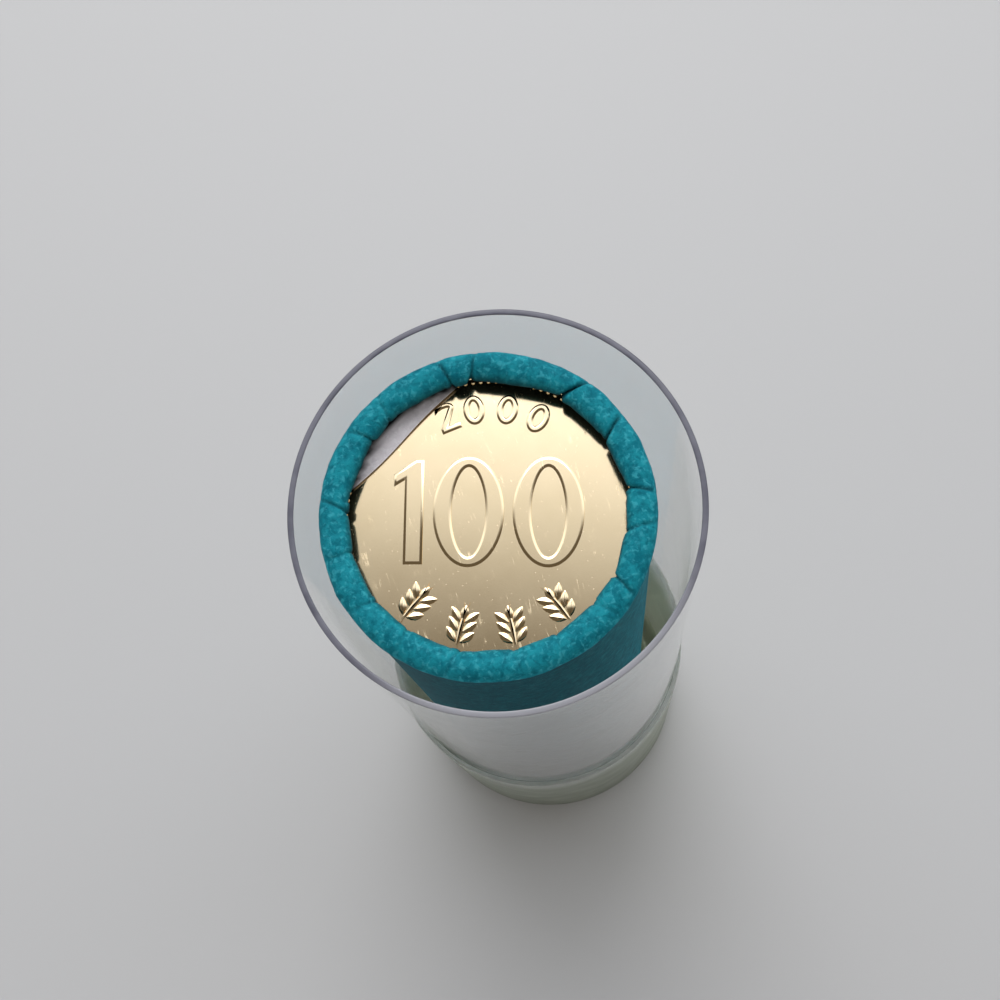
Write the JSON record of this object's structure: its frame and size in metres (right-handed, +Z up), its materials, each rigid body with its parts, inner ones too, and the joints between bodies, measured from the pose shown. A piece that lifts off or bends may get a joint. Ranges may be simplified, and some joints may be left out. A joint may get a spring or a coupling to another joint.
{
  "type": "coin roll",
  "caption": "Paper-wrapped coin roll with crimped ends, standing in a clear open-topped tube on a push-on base cap; the roll lifts out and the tube pulls off its cap.",
  "frame": {"origin": "middle of the base cap's foot, on the surface that it stands on", "axes": "+Z up along the tube's axis, -Y towards the side seen in the picture, +X to the right of it"},
  "size_m": [0.0318, 0.0318, 0.0907],
  "materials": {
    "coin_metal": "satin struck metal, pale gold",
    "teal_paper": "matt fibrous paper, teal outside and pale inside",
    "clear_plastic": "clear polished plastic",
    "olive_plastic": "translucent satin plastic, faintly olive"
  },
  "bodies": {
    "base": {"base_cap": "olive_plastic"},
    "tube": {"clear_tube": "clear_plastic"},
    "roll": {"paper_wrap": "teal_paper", "coin_01": "coin_metal", "coin_02": "coin_metal", "coin_03": "coin_metal", "coin_04": "coin_metal", "coin_05": "coin_metal", "coin_06": "coin_metal", "coin_07": "coin_metal", "coin_08": "coin_metal", "coin_09": "coin_metal", "coin_10": "coin_metal", "coin_11": "coin_metal", "coin_12": "coin_metal", "coin_13": "coin_metal", "coin_14": "coin_metal", "coin_15": "coin_metal", "coin_16": "coin_metal", "coin_17": "coin_metal", "coin_18": "coin_metal", "coin_19": "coin_metal", "coin_20": "coin_metal", "coin_21": "coin_metal", "coin_22": "coin_metal", "coin_23": "coin_metal", "coin_24": "coin_metal", "coin_25": "coin_metal", "coin_26": "coin_metal", "coin_27": "coin_metal", "coin_28": "coin_metal", "coin_29": "coin_metal", "coin_30": "coin_metal", "coin_31": "coin_metal", "coin_32": "coin_metal", "coin_33": "coin_metal", "coin_34": "coin_metal", "coin_35": "coin_metal", "coin_36": "coin_metal", "coin_37": "coin_metal", "coin_38": "coin_metal", "coin_39": "coin_metal", "coin_40": "coin_metal", "coin_41": "coin_metal", "coin_42": "coin_metal", "coin_43": "coin_metal", "coin_44": "coin_metal", "coin_45": "coin_metal", "coin_46": "coin_metal", "coin_47": "coin_metal", "coin_48": "coin_metal", "coin_49": "coin_metal", "coin_50": "coin_metal"}
  },
  "joints": [
    {"name": "tube_pull", "type": "slide", "parent": "base", "child": "tube", "axis": [0, 0, 1], "range_m": [0, 0.04]},
    {"name": "roll_lift", "type": "slide", "parent": "base", "child": "roll", "axis": [0, 0, 1], "range_m": [0, 0.1]}
  ]
}
